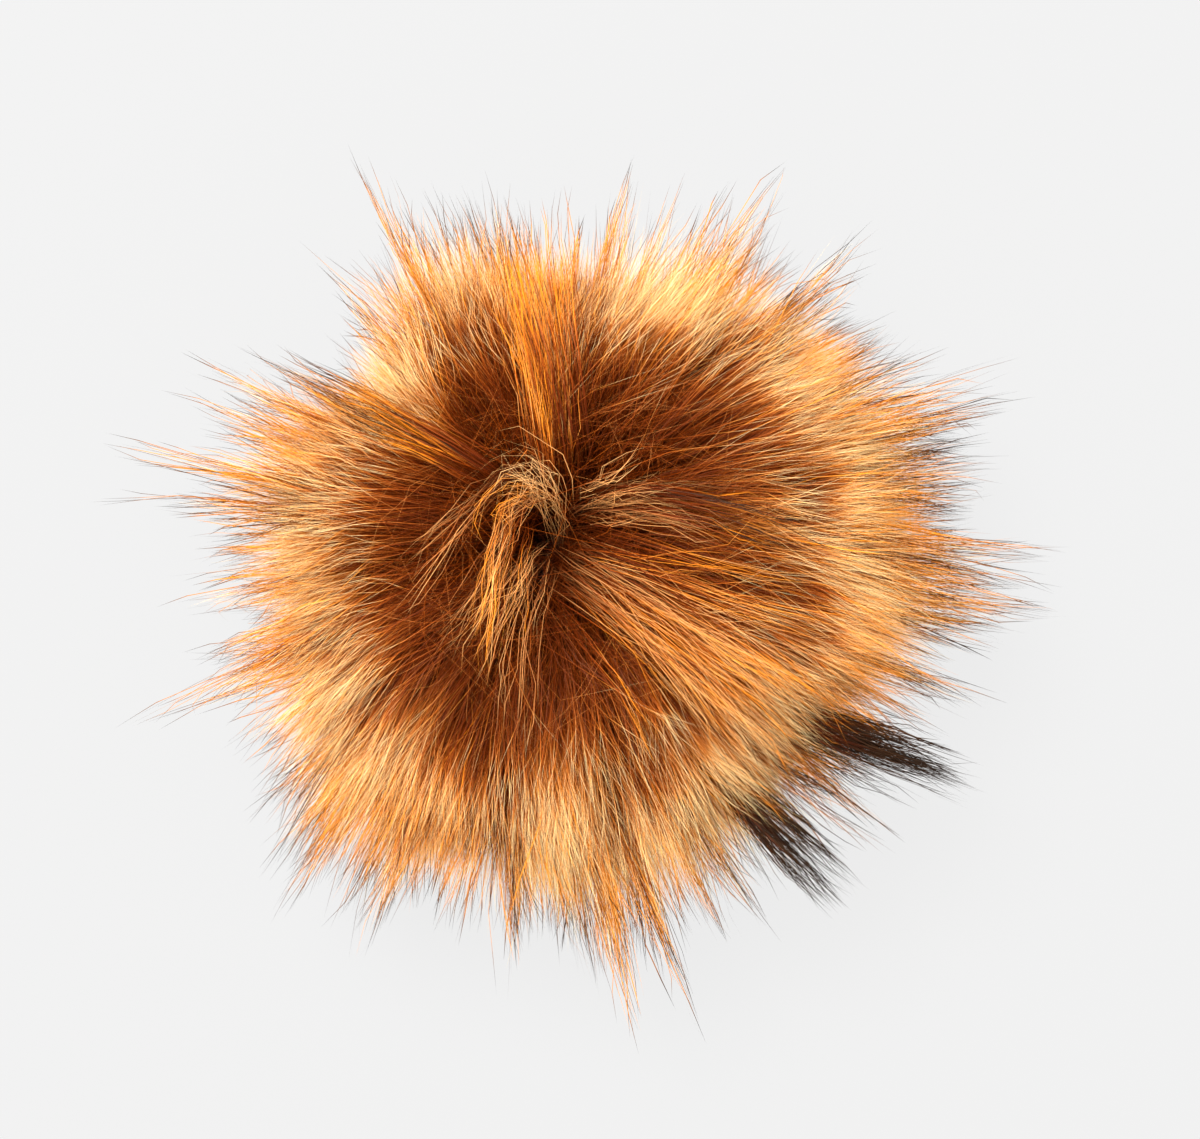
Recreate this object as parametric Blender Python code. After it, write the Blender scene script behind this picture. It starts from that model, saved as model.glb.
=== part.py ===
"""Pom pom of long fur: a round of pile fabric gathered into a ball, with its pile outside.

The pom pom stands on a small flat base, the gathered neck of the ball, and on the pile
around it, which lies level on the floor. Its locks part at a whorl near the top, lean
away from it and droop at the sides. One closed solid: the ball and its locks share
their root edges, and the locks stand apart from there on.

Frame: +Z up, origin in the middle of the flat base, seen from above with +Y up the
picture. Sizes are in millimetres and become metres when the mesh is made.
"""

import math

import bpy
import numpy as np

MM = 0.001

# --- the gathered ball under the pile ---
BALL_RADIUS = 24.0
BALL_HEIGHT = 32.0    # height of the ball's middle over the floor
NECK_RADIUS = 5.6     # waist where the fabric is gathered
NECK_HEIGHT = 4.0     # height of that waist
BASE_RADIUS = 6.6     # flat face that the pom pom rests on

# --- the layout of the locks on the ball: six square sides of cells, one lock to a cell ---
CELLS = 7             # cells along a side
NECK_CELLS = 3        # cells along each side of the neck, in the middle of the lowest side
CELL_ANGLE = 90.0 / CELLS
TWIST = 26.0          # degrees that the rows of cells are turned at the ball's widest
CORNER_STRAY = 0.26   # how far the corners of the cells stray, in cells
SEED = 11

# --- the whorl, where the pile parts ---
WHORL = np.array([-4.8, 7.2])   # place of the parting, seen from above
WHORL_HEIGHT = 76.0             # height at which it is seen there
WHORL_CORNER = (-0.5, 0.5)      # its root, in cells from the top of the ball: a corner of four cells

# --- where the tips of the pile end, in section from the whorl down to the neck ---
TIPS = np.array([
    (0.0, 15.0, 86.0),
    (13.0, 31.0, 85.0),
    (26.0, 43.5, 79.0),
    (39.0, 52.5, 70.0),
    (51.0, 58.5, 60.0),
    (64.0, 62.5, 49.5),
    (77.0, 64.5, 39.0),
    (90.0, 65.0, 29.5),
    (103.0, 63.5, 21.0),
    (116.0, 60.5, 14.0),
    (129.0, 56.0, 8.0),
    (141.0, 50.0, 3.5),
    (154.0, 42.0, 1.8),
    (180.0, 38.0, 1.0),
], dtype=[("root_angle", float), ("distance", float), ("height", float)])

# --- how far the pile reaches from the upright axis, all the way round ---
REACHES = np.array([
    (0.0, 67.0, 74.0),
    (30.0, 64.0, 73.0),
    (60.0, 60.0, 73.0),
    (90.0, 55.5, 63.0),
    (120.0, 60.0, 73.0),
    (150.0, 58.5, 70.0),
    (165.0, 60.0, 78.0),
    (180.0, 60.0, 72.0),
    (210.0, 58.5, 68.0),
    (225.0, 63.5, 72.0),
    (255.0, 60.5, 70.0),
    (285.0, 62.5, 77.0),
    (315.0, 67.0, 73.0),
    (330.0, 70.0, 74.5),
    (360.0, 67.0, 74.0),
], dtype=[("azimuth", float), ("dense_pile", float), ("longest_locks", float)])
MEAN_REACH = 61.5     # reach for which the table of tips is drawn

# --- one lock: its four-sided rings from the root up, before the pointed tip ---
RINGS = np.array([
    (0.13, 0.86),
    (0.34, 0.78),
    (0.58, 0.60),
    (0.81, 0.34),
], dtype=[("along", float), ("width", float)])
FURTHEST_CORNER = 5.2     # of a lock's first ring from its own middle
BEND_REACH = 0.46         # how far a lock runs squarely off the ball, in its own lengths
LONG_LOCK_SHARE = 0.16    # share of the locks that reach the outer outline
LONGEST_OF_THE_REST = 0.35
LENGTH_SPREAD = 0.2       # the shortest locks are this much short of the pile
WANDER = 0.62             # how far a tip strays in its own cell, 1 for all of it

# --- the locks that lie on the floor ---
LEVEL_SPANS = {1: (0.3, 0.58), 2: (0.58, 0.81)}  # row round the neck: where along it the lock comes down
LEVEL_THICKNESS = 3.0     # of a lying lock at its first ring
CARRYING_TIPS = 8         # tips of the second row that touch the floor
LIFT_OF_RESTING_TIPS = 0.35   # of the tips between those

FUR_COLOUR = (0.42, 0.17, 0.045, 1.0)


def unit(vectors):
    """Vectors scaled to length 1, along the last axis."""
    return vectors / np.linalg.norm(vectors, axis=-1, keepdims=True)


def smooth_step(value, low, high):
    """0 below low, 1 above high, and a smooth rise between them."""
    share = np.clip((value - low) / (high - low), 0.0, 1.0)
    return share * share * (3.0 - 2.0 * share)


def read_table(table, column, value):
    """Smooth curve through a column of a table, against its first column.

    Each stretch is the cubic whose slopes at its ends come from the rows beside it.
    """
    places = table[table.dtype.names[0]]
    sizes = table[column]
    slopes = np.gradient(sizes, places)
    row = np.clip(np.searchsorted(places, value) - 1, 0, len(places) - 2)
    width = places[row + 1] - places[row]
    share = np.clip((value - places[row]) / width, 0.0, 1.0)
    rise = share * share * (3.0 - 2.0 * share)
    start_bend = share * (1.0 - share) ** 2 * width * slopes[row]
    end_bend = share * share * (share - 1.0) * width * slopes[row + 1]
    return sizes[row] * (1.0 - rise) + sizes[row + 1] * rise + start_bend + end_bend


def from_whorl(directions):
    """Angle from the whorl and azimuth round it, in degrees, fading to the upright axis below."""
    lean = np.tan(np.radians(np.array(WHORL_CORNER) * CELL_ANGLE))
    axis = unit(np.append(lean, 1.0))
    shift = axis[:2] * 2.0 / (1.0 + axis[2])
    height = directions[..., 2:3]
    turned = unit(np.concatenate([directions[..., :2] - shift * (1.0 + height) / 2.0, height], axis=-1))
    angle = np.degrees(np.arccos(np.clip(turned[..., 2], -1.0, 1.0)))
    azimuth = np.degrees(np.arctan2(turned[..., 1], turned[..., 0])) % 360.0
    return angle, azimuth


def on_ball(directions):
    """Points of the ball's surface in these directions from its middle."""
    return directions * BALL_RADIUS + np.array([0.0, 0.0, BALL_HEIGHT])


def pile_tip(directions, longness):
    """Where the pile rooted in these directions ends.

    The table of tips gives its distance from the whorl and its height, and the table
    of reaches stretches that distance all the way round, fully at the rim. Longness
    runs from 0, the dense pile, to 1, the longest locks.
    """
    angle, azimuth = from_whorl(directions)
    dense = read_table(REACHES, "dense_pile", azimuth)
    reach = dense + longness * (read_table(REACHES, "longest_locks", azimuth) - dense)
    distance = read_table(TIPS, "distance", angle)
    height = read_table(TIPS, "height", angle)
    rim_share = smooth_step(distance, 0.0, MEAN_REACH)
    distance = distance * (1.0 + (reach / MEAN_REACH - 1.0) * rim_share)
    turn = np.radians(azimuth)
    whorl_share = (height / WHORL_HEIGHT * (1.0 - rim_share))[..., None]
    flat = np.stack([distance * np.cos(turn), distance * np.sin(turn)], axis=-1) + WHORL * whorl_share
    return np.concatenate([flat, height[..., None]], axis=-1)


def pile_point(directions, along, longness):
    """Place in the pile over a root direction, along it from 0 at the ball to 1 at the tips.

    A quadratic curve: it leaves the ball squarely and bends over to the tip, so that
    neighbouring paths never cross.
    """
    root = on_ball(directions)
    tip = pile_tip(directions, longness)
    span = np.linalg.norm(tip - root, axis=-1, keepdims=True)
    bend = root + directions * span * BEND_REACH
    bend[..., 2] = np.maximum(bend[..., 2], tip[..., 2])
    return (1.0 - along) ** 2 * root + 2.0 * along * (1.0 - along) * bend + along ** 2 * tip


def ball_cells():
    """Directions of the corners of the layout, and its cells as (four corners, row).

    Each side is a grid of equal angles. The row is 0 for the cells of the neck, 1 for
    the ring of cells round it and so on, and None off the lowest side.
    """
    steps = np.tan(np.radians(45.0) * (2.0 * np.arange(CELLS + 1) / CELLS - 1.0))
    middle = (CELLS - 1) // 2
    places = []
    number_of = {}
    cells = []

    def corner(direction):
        key = tuple(np.round(direction, 6) + 0.0)
        if key not in number_of:
            number_of[key] = len(places)
            places.append(direction)
        return number_of[key]

    for axis in range(3):
        for sign in (-1.0, 1.0):
            normal = np.zeros(3)
            normal[axis] = sign
            across = np.roll(normal, 1) * sign
            up = np.cross(normal, across)
            for row in range(CELLS):
                for column in range(CELLS):
                    loop = []
                    for add_column, add_row in ((0, 0), (1, 0), (1, 1), (0, 1)):
                        offset = steps[column + add_column] * across + steps[row + add_row] * up
                        loop.append(corner(unit(normal + offset)))
                    ring = max(abs(row - middle), abs(column - middle)) - (NECK_CELLS - 1) // 2
                    cells.append((loop, max(ring, 0) if normal[2] < 0.0 else None))
    return np.array(places), cells


def twist(directions):
    """Turn the layout about the upright axis, most at the ball's widest, so no row stands upright."""
    turn = math.radians(TWIST) * (1.0 - directions[:, 2] ** 2)
    x = directions[:, 0] * np.cos(turn) - directions[:, 1] * np.sin(turn)
    y = directions[:, 0] * np.sin(turn) + directions[:, 1] * np.cos(turn)
    return np.stack([x, y, directions[:, 2]], axis=-1)


def stray_corners(directions, cells):
    """Move the corners of the cells a little, apart from the neck's and the whorl's."""
    random = np.random.default_rng(SEED + 1)
    fixed = {number for loop, row in cells if row == 0 for number in loop}
    angle, _ = from_whorl(directions)
    fixed.add(int(np.argmin(angle)))
    moves = random.uniform(-1.0, 1.0, directions.shape) * math.radians(CELL_ANGLE) * CORNER_STRAY
    moves[sorted(fixed)] = 0.0
    return unit(directions + moves)


class Solid:
    """Points and faces of the one solid, in millimetres."""

    def __init__(self, points):
        self.points = [tuple(point) for point in points]
        self.faces = []

    def add(self, points):
        """Numbers of newly added points."""
        first = len(self.points)
        self.points.extend(tuple(point) for point in points)
        return list(range(first, first + len(points)))

    def sleeve(self, lower, upper):
        """Four-sided faces between two loops of like length."""
        for place, start in enumerate(lower):
            after = (place + 1) % len(lower)
            self.faces.append((start, lower[after], upper[after], upper[place]))

    def point(self, lower, tip):
        """Three-sided faces from a loop to one tip."""
        for place, start in enumerate(lower):
            self.faces.append((start, lower[(place + 1) % len(lower)], tip))


def rim_of_neck(cells):
    """Loop of corners round the cells of the neck."""
    edges = set()
    for loop, row in cells:
        if row == 0:
            edges.update(zip(loop, loop[1:] + loop[:1]))
    after = {start: end for start, end in edges if (end, start) not in edges}
    rim = [min(after)]
    while after[rim[-1]] != rim[0]:
        rim.append(after[rim[-1]])
    return rim


def add_neck(solid, directions, cells):
    """The gathered neck: the fabric drawn in under the ball and carried to the floor."""
    loop = rim_of_neck(cells)
    turns = [math.atan2(directions[number][1], directions[number][0]) for number in loop]
    for radius, height in ((NECK_RADIUS, NECK_HEIGHT), (BASE_RADIUS, 0.0)):
        ring = solid.add([(radius * math.cos(turn), radius * math.sin(turn), height) for turn in turns])
        solid.sleeve(loop, ring)
        loop = ring
    solid.faces.append(tuple(loop))


def slim(ring, furthest):
    """Draw the corners of a ring in to a distance from its middle."""
    middle = ring.mean(axis=0)
    spokes = ring - middle
    distances = np.linalg.norm(spokes, axis=-1, keepdims=True)
    return middle + spokes * np.minimum(1.0, furthest / distances)


def settle(ring, along, width, span, lift):
    """Bring a ring of a lowest lock down: its two lower corners level, the others over them."""
    share = smooth_step(along, *span)
    thickness = LEVEL_THICKNESS * width / RINGS["width"][0]
    rank = np.argsort(np.argsort(ring[:, 2]))
    level = lift + np.where(rank < 2, 0.0, thickness)
    ring[:, 2] = ring[:, 2] * (1.0 - share) + level * share
    return ring


def lock_rings(directions, row, longness, length, stray, lift):
    """Rings of one lock and its tip, in the space over its own cell of the ball.

    A ring is the cell drawn in towards its middle and carried up the pile, and the
    middle strays sideways only as far as the narrower ring leaves room for.
    """
    middle = unit(directions.mean(axis=0))
    across = directions[1] - directions[0]
    up = directions[3] - directions[0]
    rings = []
    for along, width in [tuple(ring) for ring in RINGS] + [(1.0, 0.0)]:
        room = (1.0 - width) * WANDER * along
        moved = middle + room * (stray[0] * across + stray[1] * up)
        ring = pile_point(unit(moved + width * (directions - middle)), along * length, longness)
        if width > 0.0:
            ring = slim(ring, FURTHEST_CORNER * width / RINGS["width"][0])
        if row in LEVEL_SPANS:
            ring = settle(ring, along, width, LEVEL_SPANS[row], lift)
        rings.append(ring)
    return rings[:-1], rings[-1].mean(axis=0)


def add_locks(solid, directions, cells):
    """A four-sided pointed lock over each cell of the ball, apart from the neck's."""
    random = np.random.default_rng(SEED)
    second_row = [tuple(loop) for loop, row in cells if row == 2]
    carriers = {second_row[place * len(second_row) // CARRYING_TIPS] for place in range(CARRYING_TIPS)}
    for loop, row in cells:
        if row == 0:
            continue
        is_long = random.random() < LONG_LOCK_SHARE
        longness = 1.0 if is_long else LONGEST_OF_THE_REST * random.random()
        length = 1.0 if is_long else 1.0 - LENGTH_SPREAD * random.random()
        stray = random.uniform(-0.5, 0.5, 2)
        lift = 0.0 if row == 1 or tuple(loop) in carriers else LIFT_OF_RESTING_TIPS
        rings, tip = lock_rings(directions[loop], row, longness, length, stray, lift)
        lower = loop
        for ring in rings:
            upper = solid.add(ring)
            solid.sleeve(lower, upper)
            lower = upper
        solid.point(lower, solid.add([tip])[0])


def fur_material():
    """Warm brown fur."""
    material = bpy.data.materials.new("fur")
    material.use_nodes = True
    shader = material.node_tree.nodes["Principled BSDF"]
    shader.inputs["Base Color"].default_value = FUR_COLOUR
    shader.inputs["Roughness"].default_value = 0.6
    shader.inputs["Metallic"].default_value = 0.0
    return material


def make_pompom():
    """The ball, its neck and its locks as one closed mesh."""
    directions, cells = ball_cells()
    directions = stray_corners(twist(directions), cells)
    solid = Solid(on_ball(directions))
    add_neck(solid, directions, cells)
    add_locks(solid, directions, cells)
    used = sorted({number for face in solid.faces for number in face})
    renumbered = {number: place for place, number in enumerate(used)}
    points = np.array(solid.points)[used] * MM
    faces = [tuple(renumbered[number] for number in face) for face in solid.faces]
    mesh = bpy.data.meshes.new("pompom")
    mesh.from_pydata(points.tolist(), [], faces)
    mesh.update()
    mesh.materials.append(fur_material())
    pompom = bpy.data.objects.new("pompom", mesh)
    bpy.context.scene.collection.objects.link(pompom)


def main():
    for thing in list(bpy.data.objects):
        bpy.data.objects.remove(thing, do_unlink=True)
    make_pompom()


main()
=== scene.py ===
"""Pom pom of long fur, seen from above on a pale floor.

Laid out as an add-on and run as a script. The pile grows from a gathered ball of
knitted ground. Every hair follows the same sweep as the solid locks of the part: it
leaves the ball squarely, bends away from the whorl near the top, and droops at the
sides. Hairs draw together into clumps and the clumps into locks. Lengths are in
millimetres until a mesh is made, and a mesh is in metres.
"""

import math

import bpy
import numpy as np
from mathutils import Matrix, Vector
from bpy.props import FloatProperty, FloatVectorProperty, IntProperty, PointerProperty


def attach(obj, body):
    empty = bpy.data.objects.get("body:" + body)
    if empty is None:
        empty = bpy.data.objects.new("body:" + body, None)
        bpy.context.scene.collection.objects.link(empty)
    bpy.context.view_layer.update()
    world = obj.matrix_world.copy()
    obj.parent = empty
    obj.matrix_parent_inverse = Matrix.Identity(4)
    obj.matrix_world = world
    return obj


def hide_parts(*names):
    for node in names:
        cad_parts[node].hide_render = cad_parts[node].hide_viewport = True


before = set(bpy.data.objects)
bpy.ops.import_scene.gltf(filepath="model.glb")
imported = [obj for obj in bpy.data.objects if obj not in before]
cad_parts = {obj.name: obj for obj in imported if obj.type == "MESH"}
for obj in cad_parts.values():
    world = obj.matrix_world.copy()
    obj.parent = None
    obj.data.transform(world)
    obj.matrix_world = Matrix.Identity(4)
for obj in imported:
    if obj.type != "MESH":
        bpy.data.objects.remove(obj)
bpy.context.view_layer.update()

bl_info = {
    "name": "Fur pom pom",
    "version": (1, 0, 0),
    "blender": (4, 5, 0),
    "location": "3D View > Sidebar > Pom pom",
    "description": "Dresses a gathered ball of knitted ground in long fur",
    "category": "Add Mesh",
}

MM = 0.001
FULL_TURN = 2.0 * math.pi
NODE = "pompom"
BODY = "root"
UV_MAP = "OFBake"

# --- the photograph: its frame, its scale and the place of the upright axis in it ---
PHOTO_WIDTH = 1200.0
PHOTO_HEIGHT = 1139.0
PIXELS_PER_MM = 6.2
AXIS_IN_PHOTO = (575.0, 565.0)
SHARP_HEIGHT = 40.0        # height at which that scale holds
CAMERA_HEIGHT = 750.0
SENSOR_WIDTH = 36.0

# --- the stage, in metres ---
SOFTBOX_PLACE = Vector((-0.18, 0.26, 0.8))
SOFTBOX_SIZE = 0.35
FLOOR_RADIUS = 3.0
FLOOR_SHADED = 0.03        # share of the floor's brightness that comes from the lights

# --- the gathered ball, as in the solids ---
BALL_RADIUS = 24.0
BALL_HEIGHT = 32.0
NECK_RADIUS = 5.6
NECK_HEIGHT = 4.0
BASE_RADIUS = 6.6
NECK_ANGLE = 161.0         # from the top, where the bare neck begins
LOWEST = math.cos(math.radians(NECK_ANGLE))
GROUND_SHARE = 0.985       # the ground lies just inside the solid ball
GATHERS = np.array([(0, 0), (4, 0.9), (8, 0.8), (22, 0)], dtype=[("height", float), ("depth", float)])

# --- the whorl, as in the solids ---
WHORL = np.array([-4.8, 7.2])
WHORL_HEIGHT = 76.0
WHORL_LEAN = np.tan(np.radians(np.array([-0.5, 0.5]) * 90.0 / 7.0))

# --- hairs: shares of their length at which each kind has its points ---
WOOL_STOPS = np.array([0.0, 0.4, 0.7, 1.0])
PILE_STOPS = np.array([0.0, 0.3, 0.5, 0.68, 0.85, 1.0])
TUFT_STOPS = np.array([0.0, 0.16, 0.32, 0.45, 0.57, 0.69, 0.8, 0.9, 1.0])
GUARD_STOPS = np.array([0.0, 0.25, 0.45, 0.62, 0.76, 0.89, 1.0])
STREAKS = np.array([5, 11, 19, 31, 47])    # waves round the whorl that streak the pile
PIECE_HAIRS = 21000        # keeps a piece of pile hairs under 200,000 triangles
LOCK_STRAY, CLUMP_STRAY = 0.35, 0.5    # how far locks and clumps stray, as shares of their spacing
LOCK_LEAN, CLUMP_LEAN = 0.04, 0.025
LOCK_UNEVEN, CLUMP_UNEVEN = 0.07, 0.06    # how much shorter than the longest they may be
LOCK_NOISE = 0.45          # share of the unevenness of colour that a whole lock has in common
HAIRS_PER_WISP = 8
COLOUR_WAVES = 24          # waves of colour across the map of the hairs
STRIP_HALF = 0.0014        # half the width of a hair's strip on the map
CLUMP_CYCLES = (0.9, 1.7)  # slow waves along a hair: its clump's, its own, and a tuft's
HAIR_CYCLES = (1.3, 2.6)
TUFT_CYCLES = (1.4, 3.1)
TUFT_FLATNESS = np.array([1.0, 0.5])    # a tuft's spread across and up, as shares of its width
WIDEST = 0.35              # place along a hair where it is widest
ROOT_WIDTH = 0.7           # its width at the root, as a share of the widest
DYED_WIDTH, WOOL_WIDTH, FUZZ_WIDTH = 1.35, 3.0, 0.65    # widths as multiples of a cream pile hair's
TUFT_WIDTHS = (0.95, 0.95, 1.8)    # the same for cream, amber and dark-tipped tufts
RIM_LOCK_WIDTH = 2.2       # degrees round the rim
WISP_WIDTH = 1.4           # the same for the wisp of guard hairs in a rim lock
WISPLESS_REACH = 46.0      # a rim lock that reached no further would have no wisp
TURN_TO_POINT = 0.32       # share of the way to its lock's point that a hair turns
RAGGED_EDGE = 7.5
UPPER_PART = -0.25         # cosine down to which the upper part of the ball reaches

# --- where the pile ends: hairs near the whorl lie down over the solids' upright tips ---
TIPS = np.array([
    (0, 46, 76), (13, 50, 74.5), (26, 53.5, 71), (39, 57, 65), (51, 60, 57), (64, 62.5, 48),
    (77, 64.5, 39), (90, 65, 29.5), (103, 63.5, 21), (116, 60.5, 14), (129, 56, 8), (141, 50, 3.5),
    (154, 42, 1.8), (180, 38, 1),
], dtype=[("root_angle", float), ("distance", float), ("height", float)])
MEAN_REACH = 61.5
BEND_REACH = 0.46
TOP_BEND_REACH = 0.66
INNER_PILE = (38.5, 51.5)  # distances over which the deeper colour of the middle ends
INNER_DEEPER = 0.15
INNER_RAGGED = 9.0         # how far that place moves in and out round the whorl
# More amber for the hairs under the rim: partly the rim's orange tips, partly painted shade standing in for
# the deeper colour of the shaded hairs there.
UNDERSIDE_AMBER_AND_SHADE = 0.8
LOCK_PULL = (0.34, 0.18)   # share of the way to its lock that a clump is drawn, on top and at the sides
PULL_ANGLES = (50.0, 85.0)

# Reach of the close pile at the rim, before its locks' points, as the photograph shows it.
CLOSE_PILE = np.array([
    (0, 57), (30, 56), (60, 53), (90, 48), (120, 54), (138, 46), (160, 53), (190, 49), (215, 54),
    (235, 57), (250, 53), (270, 54), (300, 52), (315, 50), (332, 51), (345, 56), (360, 57),
], dtype=[("azimuth", float), ("reach", float)])

# Pointed locks round the rim, read off the photograph: where each points, how far it
# reaches, how far its point leans round the rim, and whether it is amber-tipped (0),
# dark-tipped (1), black (2) or pale (3).
RIM_LOCKS = np.array([
    (1.5, 75, 0, 1), (6.5, 62, 1, 0), (11.5, 70, 2, 1), (17, 67, 0, 1), (20.5, 74, 0, 1),
    (24.5, 74.5, 0.5, 0), (29, 66, 0.5, 1), (35.5, 61, 0.5, 0), (40.5, 57, 0, 3), (45.5, 72, 7, 1),
    (51, 57, 0, 3), (55.5, 60, -1, 0), (61, 72, 1.5, 0), (67, 64, 1, 3), (74, 64, 0, 3),
    (81, 66, 0.5, 3), (87.5, 55, 2, 3), (94, 53, 2, 0), (101, 63, 2, 1), (106.5, 61, 0.5, 0),
    (112, 64, 1, 1), (117.5, 73, 1, 0), (123, 58, 0, 0), (128.5, 63.5, 2, 1), (135, 51, 0, 3),
    (140.5, 48.5, 0, 3), (145, 62, 2.5, 1), (151.5, 72, 0.5, 0), (157, 68, 0, 0), (165.5, 74.5, 0, 0),
    (171.5, 76, 0.5, 1), (177, 60, 0.5, 3), (181.5, 62, 0.5, 0), (186, 64, 0, 3), (190.5, 48, 0, 3),
    (194, 62, -1, 0), (200, 74, 0, 0), (207, 64, 2, 0), (213, 60, 1, 3), (218.5, 66, 0, 1),
    (224, 68, 1, 0), (229, 71, 1, 0), (234, 68, 1.5, 0), (239.5, 71, 2.5, 1), (246, 56, 1.5, 3),
    (252.5, 61, 1, 3), (259, 68, 3.5, 1), (265.5, 57, 2, 3), (271, 66, 2, 1), (276.5, 75, 1.5, 0),
    (283, 75, 2.5, 1), (290, 63, 2, 0), (296, 66, 2.5, 1), (304.5, 62, 2.5, 2), (310.5, 61, 1.5, 2),
    (318, 66, 2, 1), (324.5, 60, 0.5, 1), (330, 62, 1, 2), (336, 63, 0, 0), (341, 70, 1, 1),
    (349.5, 69, 2, 1), (354, 75, 0.5, 0), (358.5, 74, -1, 1),
], dtype=[("azimuth", float), ("reach", float), ("lean", float), ("tip", int)])
AMBER_TIP, DARK_TIP, BLACK_TIP, PALE_TIP = range(4)

# How strongly each kind of point draws its hairs to cream, amber and dark-tipped, and how
# much nearer it brings the tips of its guard hairs to black.
POINT_STRENGTHS = np.array([(0, 0.5, 0.08), (0, 0.25, 0.3), (0, 0, 2), (1.4, 0.08, 0)])
POINT_DARKNESS = np.array([0, 0.35, 0.5, -0.2])

# --- colour areas of the pile, where they show in the photograph ---
# Shade 0 is cream, 1 is amber, 2 is dark-tipped; radius is how far the area spreads.
CREAM, AMBER, TIPPED = range(3)
PHOTO_AREA = [("photo_x", float), ("photo_y", float), ("radius", float)]
AREAS = np.array([
    (655, 235, 48, 0, 5), (705, 290, 45, 0, 4), (865, 425, 40, 0, 4), (905, 600, 36, 0, 4),
    (735, 790, 45, 0, 5), (255, 545, 40, 0, 3), (590, 850, 60, 0, 3), (340, 790, 45, 0, 2),
    (450, 290, 32, 0, 3), (400, 310, 36, 1, 3), (535, 300, 40, 1, 6), (320, 415, 34, 1, 6),
    (865, 665, 42, 1, 5), (845, 330, 42, 1, 3.6), (925, 510, 50, 1, 3), (420, 830, 60, 1, 3.2),
    (640, 930, 40, 1, 3.2), (250, 640, 40, 1, 3), (235, 470, 34, 1, 3), (925, 750, 32, 2, 5),
    (820, 870, 32, 2, 5), (330, 385, 24, 2, 3), (500, 230, 25, 2, 3), (890, 805, 24, 2, 3),
], dtype=PHOTO_AREA + [("shade", int), ("strength", float)])

# Streaks of hair that are pale from low down, and hollows where the pile parts.
PALE_STREAKS = np.array([
    (600, 585, 22), (650, 610, 30), (700, 650, 34), (745, 700, 34), (630, 498, 18), (685, 503, 22),
    (735, 520, 22), (492, 610, 18), (480, 670, 22), (440, 425, 20), (390, 425, 24), (820, 440, 40),
    (860, 590, 36), (700, 740, 40), (655, 310, 45), (580, 770, 40), (430, 720, 40), (330, 570, 45),
    (460, 310, 30),
], dtype=PHOTO_AREA)

HOLLOWS = np.array([
    (600, 460, 28), (530, 592, 22), (660, 556, 20), (612, 690, 20), (480, 420, 18),
], dtype=PHOTO_AREA)

# Places at the rim where the floor shows between the dark brushes.
CLEARINGS = np.array([
    (905, 745, 42), (945, 790, 34), (880, 795, 30), (850, 850, 40), (815, 890, 34),
], dtype=PHOTO_AREA)

# --- tufts that stand out of the pile, each followed in the photograph ---
# Each rises at its start, passes over its middle and ends at its tip, each given by its
# place in the photograph and its height. Fan is how much wider the tip is than the middle,
# tone runs from the plainest to the strongest dye, frizz loosens the hairs, and ahead is
# how much further out in the pile their colours come from.
TUFT_PARTS = ("start", "middle", "tip")
TUFTS = np.array([
    (544, 498, 74, 520, 474, 80, 492, 512, 79, 4.4, 2.2, 40, 0, 0.2, 1.2, 0),
    (522, 494, 75, 504, 500, 79, 508, 572, 78, 3, 1.6, 46, 1, 0.95, 0.7, 0.16),
    (510, 500, 76, 490, 530, 79, 442, 630, 77, 3.6, 2.2, 36, 0, 0.5, 0.7, -0.16),
    (512, 530, 76, 492, 610, 79, 480, 695, 76, 4, 2, 44, 1, 0.85, 0.5, 0.08),
    (510, 560, 75, 474, 620, 78, 425, 700, 73, 5.5, 2.2, 80, 0, 0.45, 0.5, -0.14),
    (594, 505, 74, 646, 500, 80, 745, 525, 78, 3, 2, 76, 0, 0.35, 0.6, -0.15),
    (600, 492, 76, 632, 480, 81, 665, 462, 80, 2, 2.2, 16, 0, 0.3, 0.8, -0.15),
    (640, 503, 77, 740, 528, 79, 850, 588, 71, 5, 1.8, 36, 2, 0.95, 0.2, 0),
    (574, 566, 74, 646, 612, 79, 764, 714, 75, 5.5, 2, 100, 0, 0.15, 0.7, -0.03),
    (582, 580, 75, 648, 634, 79, 745, 740, 73, 5, 2.3, 64, 1, 0.85, 0.5, 0.1),
    (610, 585, 76, 700, 660, 79, 800, 765, 70, 9, 1.5, 70, 2, 0.35, 0.2, 0),
    (640, 640, 77, 700, 690, 80, 790, 770, 72, 8, 1.5, 50, 1, 0.7, 0.2, 0),
    (600, 560, 76, 700, 600, 80, 850, 645, 72, 8, 1.6, 60, 1, 0.85, 0.3, 0.08),
    (552, 430, 75, 542, 350, 76, 522, 270, 67, 4, 1.3, 120, 1, 0.9, 0.2, 0.1),
    (560, 400, 76, 536, 300, 75, 515, 205, 60, 6, 1.2, 110, 2, 0.2, 0.2, 0),
    (450, 450, 76, 365, 408, 73, 276, 366, 60, 3.4, 1.1, 130, 2, 0.55, 0.2, 0.06),
    (842, 736, 52, 902, 758, 52, 984, 789, 50, 3.2, 1.15, 300, 2, 0.99, 0.3, 0.05),
    (852, 722, 53, 905, 740, 53, 966, 768, 51, 2.2, 1.2, 60, 2, 0.97, 0.35, 0.05),
    (785, 818, 51, 822, 850, 51, 866, 888, 48, 1.2, 0.9, 110, 2, 0.98, 0.25, 0.05),
    (768, 834, 50, 802, 868, 50, 846, 910, 47, 2.2, 1.1, 200, 2, 0.99, 0.35, 0.05),
    (816, 782, 52, 862, 808, 52, 918, 842, 49, 3.4, 1.3, 60, 2, 0.9, 0.4, 0),
], dtype=[(part + axis, float) for part in TUFT_PARTS for axis in ("_x", "_y", "_z")] + [
    ("width", float), ("fan", float), ("hairs", int), ("shade", int), ("tone", float),
    ("frizz", float), ("ahead", float)])

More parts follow.
